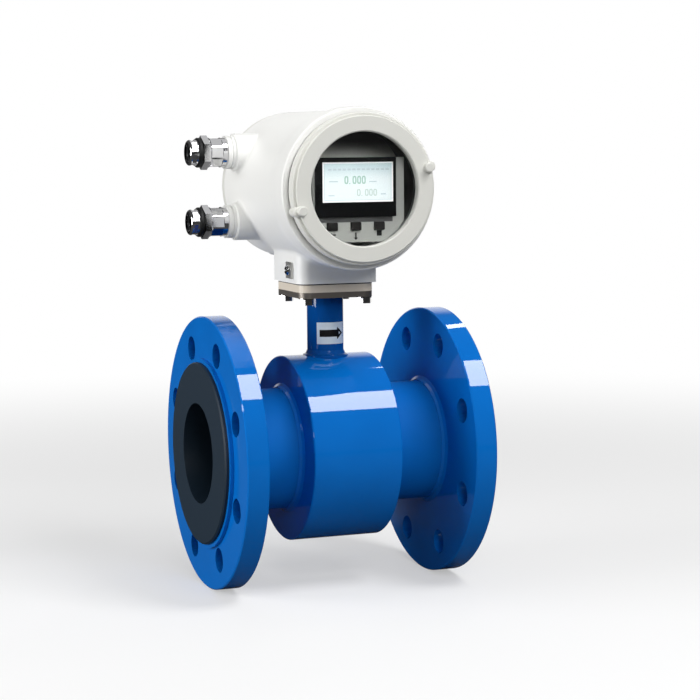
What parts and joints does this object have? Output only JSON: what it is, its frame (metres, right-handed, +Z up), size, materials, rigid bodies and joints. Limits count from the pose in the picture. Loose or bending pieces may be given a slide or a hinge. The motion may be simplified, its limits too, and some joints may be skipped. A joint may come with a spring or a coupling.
{
  "type": "electromagnetic flow meter",
  "caption": "Flanged inline electromagnetic flow meter: lined tube, round coil housing, neck, and a two-chamber display head with window, screw covers and cable glands.",
  "frame": {"origin": "on the axis of the flow bore, halfway between the two sealing faces", "axes": "+X along the bore in the direction of flow, +Z up along the neck, -Y the side that the display faces"},
  "size_m": [0.2, 0.2, 0.3504],
  "materials": {
    "blue_paint": "gloss blue enamel on steel",
    "head_paint": "light grey powder coat on die-cast aluminium",
    "beige_paint": "satin beige coat",
    "liner_rubber": "matt moulded rubber",
    "black_rubber": "satin moulded rubber",
    "copper_winding": "enamelled winding wire",
    "core_iron": "rolled electrical steel",
    "stainless": "turned stainless steel",
    "bare_steel": "dull plated steel",
    "white_insulator": "machined fluoropolymer",
    "lead_sheath": "extruded cable sheath",
    "arrow_plate": "satin aluminium sheet",
    "window_glass": "toughened float glass",
    "ring_aluminium": "black anodised",
    "fascia_plastic": "moulded light grey plastic",
    "black_plastic": "moulded black plastic",
    "lcd_glass": "lit liquid crystal panel",
    "circuit_board": "solder resist on laminate",
    "zinc_posts": "zinc plated spacers",
    "chrome": "bright nickel plate"
  },
  "bodies": {
    "meter": {"adapter_plate": "beige_paint", "arrow_plate": "arrow_plate", "base_bolts": "stainless", "base_gasket": "black_rubber", "base_washers": "stainless", "board_posts": "zinc_posts", "coil_housing_shell": "blue_paint", "display_board": "circuit_board", "display_fascia": "fascia_plastic", "earth_clip": "bare_steel", "earth_screw": "stainless", "electrode_nuts": "stainless", "front_electrode": "stainless", "front_electrode_bush": "white_insulator", "head_housing": "head_paint", "inlet_end_ring": "blue_paint", "inlet_flange": "blue_paint", "key_switches": "black_plastic", "lcd_bezel": "black_plastic", "lcd_screen": "lcd_glass", "lead_bundle": "lead_sheath", "liner": "liner_rubber", "lower_coil": "copper_winding", "lower_gland_body": "chrome", "lower_gland_grommet": "black_rubber", "lower_pole_core": "core_iron", "magnetic_yoke": "core_iron", "main_board": "circuit_board", "measuring_tube": "blue_paint", "neck_flange": "bare_steel", "neck_plug": "black_rubber", "neck_tube": "blue_paint", "outlet_end_ring": "blue_paint", "outlet_flange": "blue_paint", "rear_electrode": "stainless", "rear_electrode_bush": "white_insulator", "terminal_block": "black_plastic", "terminal_board": "circuit_board", "terminal_posts": "zinc_posts", "terminal_screws": "stainless", "upper_coil": "copper_winding", "upper_gland_body": "chrome", "upper_gland_grommet": "black_rubber", "upper_pole_core": "core_iron"},
    "front_seal": {"front_cover_seal": "black_rubber"},
    "front_lid": {"front_cover": "head_paint", "window_gasket": "black_rubber", "window_glass": "window_glass", "glass_retaining_ring": "ring_aluminium"},
    "rear_seal": {"rear_cover_seal": "black_rubber"},
    "rear_lid": {"rear_cover": "head_paint"},
    "left_button": {"left_key": "black_plastic"},
    "centre_button": {"centre_key": "black_plastic"},
    "right_button": {"right_key": "black_plastic"},
    "upper_nut_seal": {"upper_gland_seal": "black_rubber"},
    "upper_nut": {"upper_gland_nut": "chrome"},
    "lower_nut_seal": {"lower_gland_seal": "black_rubber"},
    "lower_nut": {"lower_gland_nut": "chrome"}
  },
  "joints": [
    {"name": "front_cover_turn", "type": "hinge", "parent": "meter", "child": "front_seal", "pos_m": [0, -0.07185, 0.1926], "axis": [0, -1, 0], "range_deg": [0, 1800]},
    {"name": "front_cover_travel", "type": "slide", "parent": "front_seal", "child": "front_lid", "axis": [0, -1, 0], "range_m": [0, 0.0101]},
    {"name": "rear_cover_turn", "type": "hinge", "parent": "meter", "child": "rear_seal", "pos_m": [0, 0.0685, 0.1926], "axis": [0, 1, 0], "range_deg": [0, 1800]},
    {"name": "rear_cover_travel", "type": "slide", "parent": "rear_seal", "child": "rear_lid", "axis": [0, 1, 0], "range_m": [0, 0.0101]},
    {"name": "upper_nut_turn", "type": "hinge", "parent": "meter", "child": "upper_nut_seal", "pos_m": [-0.0838, 0.036, 0.2182], "axis": [-1, 0, 0], "range_deg": [0, 1080]},
    {"name": "upper_nut_travel", "type": "slide", "parent": "upper_nut_seal", "child": "upper_nut", "axis": [-1, 0, 0], "range_m": [0, 0.0046]},
    {"name": "lower_nut_turn", "type": "hinge", "parent": "meter", "child": "lower_nut_seal", "pos_m": [-0.0838, 0.036, 0.167], "axis": [-1, 0, 0], "range_deg": [0, 1080]},
    {"name": "lower_nut_travel", "type": "slide", "parent": "lower_nut_seal", "child": "lower_nut", "axis": [-1, 0, 0], "range_m": [0, 0.0046]},
    {"name": "left_key_press", "type": "slide", "parent": "meter", "child": "left_button", "axis": [0, 1, 0], "range_m": [0, 0.0005], "stiffness_N_per_m": 400, "springref_m": -0.001},
    {"name": "centre_key_press", "type": "slide", "parent": "meter", "child": "centre_button", "axis": [0, 1, 0], "range_m": [0, 0.0005], "stiffness_N_per_m": 400, "springref_m": -0.001},
    {"name": "right_key_press", "type": "slide", "parent": "meter", "child": "right_button", "axis": [0, 1, 0], "range_m": [0, 0.0005], "stiffness_N_per_m": 400, "springref_m": -0.001}
  ],
  "couplings": [
    {"joint": "front_cover_travel", "follows": "front_cover_turn", "m_per_rad": 0.00031831},
    {"joint": "rear_cover_travel", "follows": "rear_cover_turn", "m_per_rad": 0.00031831},
    {"joint": "upper_nut_travel", "follows": "upper_nut_turn", "m_per_rad": 0.00023873},
    {"joint": "lower_nut_travel", "follows": "lower_nut_turn", "m_per_rad": 0.00023873}
  ]
}
